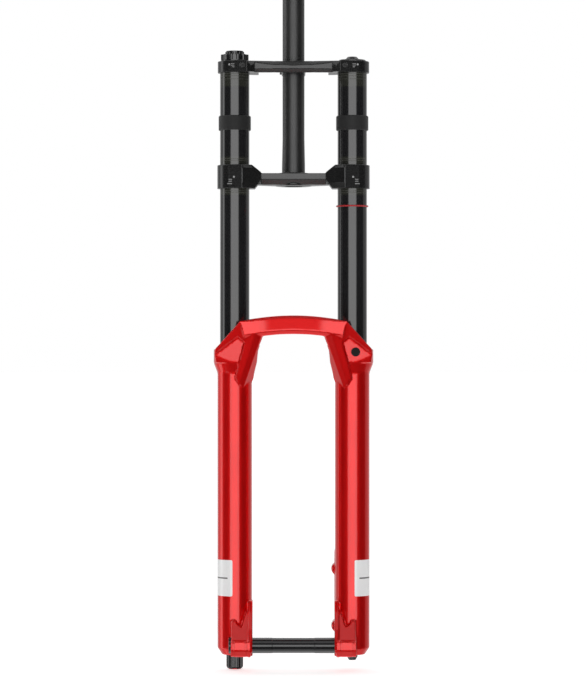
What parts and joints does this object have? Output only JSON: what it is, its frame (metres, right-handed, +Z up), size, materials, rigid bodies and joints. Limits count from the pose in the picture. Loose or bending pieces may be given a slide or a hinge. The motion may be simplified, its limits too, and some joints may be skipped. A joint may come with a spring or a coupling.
{
  "type": "suspension fork",
  "caption": "Dual-crown downhill mountain bike suspension fork with telescopic legs, a one-piece arched lower casting, a through-axle and damper knobs.",
  "frame": {"origin": "centre of the crown race seat's lower edge, on the steerer axis, at the top of the lower crown's boss", "axes": "+Z up along the steerer, +X towards the air spring leg, which carries the brake posts, and the fork's front faces -Y"},
  "size_m": [0.207, 0.0977, 0.904],
  "materials": {
    "black_anodised": "satin black anodised",
    "black_forged": "satin black",
    "steerer_black": "satin black",
    "candy_red": "gloss metallic red with clear coat",
    "black_bolt": "black oxide",
    "rubber": "matt",
    "red_ring": "satin",
    "black_plastic": "matt",
    "badge_black": "satin",
    "red_anodised": "red anodised",
    "steel": "ground",
    "alloy": "plain",
    "brass": "plain",
    "token_plastic": "matt",
    "foam": "oiled foam",
    "bushing_liner": "dull",
    "copper": "plain"
  },
  "bodies": {
    "chassis": {"steerer_tube": "steerer_black", "lower_crown": "black_forged", "lower_crown_bolts": "black_bolt", "damper_stanchion": "black_anodised", "air_stanchion": "black_anodised", "damper_bump_stop": "rubber", "air_bump_stop": "rubber", "air_top_cap": "black_anodised", "valve_core": "brass", "volume_tokens": "token_plastic", "damper_top_cap": "black_anodised", "damper_cartridge": "alloy", "compression_piston": "brass", "damper_bladder": "rubber", "damper_seal_head": "alloy", "air_seal_head": "alloy", "seal_head_clips": "steel", "top_out_bumper": "rubber"},
    "upper_crown": {"upper_crown": "black_forged", "upper_crown_bolts": "black_bolt", "steerer_pinch_bolt": "black_bolt"},
    "high_speed_knob": {"high_speed_knob": "black_anodised"},
    "low_speed_knob": {"low_speed_knob": "black_anodised", "knob_screw": "steel"},
    "valve_cap": {"valve_cap": "black_anodised"},
    "sag_ring": {"sag_ring": "red_ring"},
    "lowers": {"lower_casting": "candy_red", "damper_wiper_seal": "rubber", "air_wiper_seal": "rubber", "damper_foam_ring": "foam", "air_foam_ring": "foam", "damper_upper_bushing": "bushing_liner", "air_upper_bushing": "bushing_liner", "damper_lower_bushing": "bushing_liner", "air_lower_bushing": "bushing_liner", "damper_shaft": "steel", "rebound_piston": "brass", "damper_foot_bolt": "black_bolt", "air_foot_nut": "black_anodised", "crush_washers": "copper", "air_shaft": "steel", "air_piston": "alloy", "air_piston_seal": "rubber", "bottom_out_bumpers": "rubber", "shoulder_badge": "badge_black"},
    "rebound_knob": {"rebound_knob": "black_anodised", "rebound_knob_end": "red_anodised", "rebound_needle": "alloy"},
    "axle": {"axle": "black_anodised"}
  },
  "joints": [
    {"name": "travel", "type": "slide", "parent": "chassis", "child": "lowers", "axis": [0, 0, 1], "range_m": [0, 0.2], "stiffness_N_per_m": 6000, "springref_m": -0.008},
    {"name": "upper_crown_height", "type": "slide", "parent": "chassis", "child": "upper_crown", "axis": [0, 0, 1], "range_m": [-0.045, 0]},
    {"name": "high_speed_turn", "type": "hinge", "parent": "chassis", "child": "high_speed_knob", "pos_m": [-0.0762, -0.023, 0.148], "axis": [0, 0, 1], "range_deg": [-60, 60]},
    {"name": "low_speed_turn", "type": "hinge", "parent": "chassis", "child": "low_speed_knob", "pos_m": [-0.0762, -0.023, 0.154], "axis": [0, 0, 1], "range_deg": [-135, 135]},
    {"name": "valve_cap_lift", "type": "slide", "parent": "chassis", "child": "valve_cap", "axis": [0, 0, 1], "range_m": [0, 0.02]},
    {"name": "sag_ring_slide", "type": "slide", "parent": "chassis", "child": "sag_ring", "axis": [0, 0, 1], "range_m": [0, 0.0208]},
    {"name": "rebound_turn", "type": "hinge", "parent": "lowers", "child": "rebound_knob", "pos_m": [-0.0762, -0.023, -0.634], "axis": [0, 0, 1], "range_deg": [-150, 150]},
    {"name": "axle_withdraw", "type": "slide", "parent": "lowers", "child": "axle", "axis": [-1, 0, 0], "range_m": [0, 0.17]}
  ],
  "couplings": [
    {"joint": "sag_ring_slide", "follows": "travel", "ratio": 0.104}
  ]
}
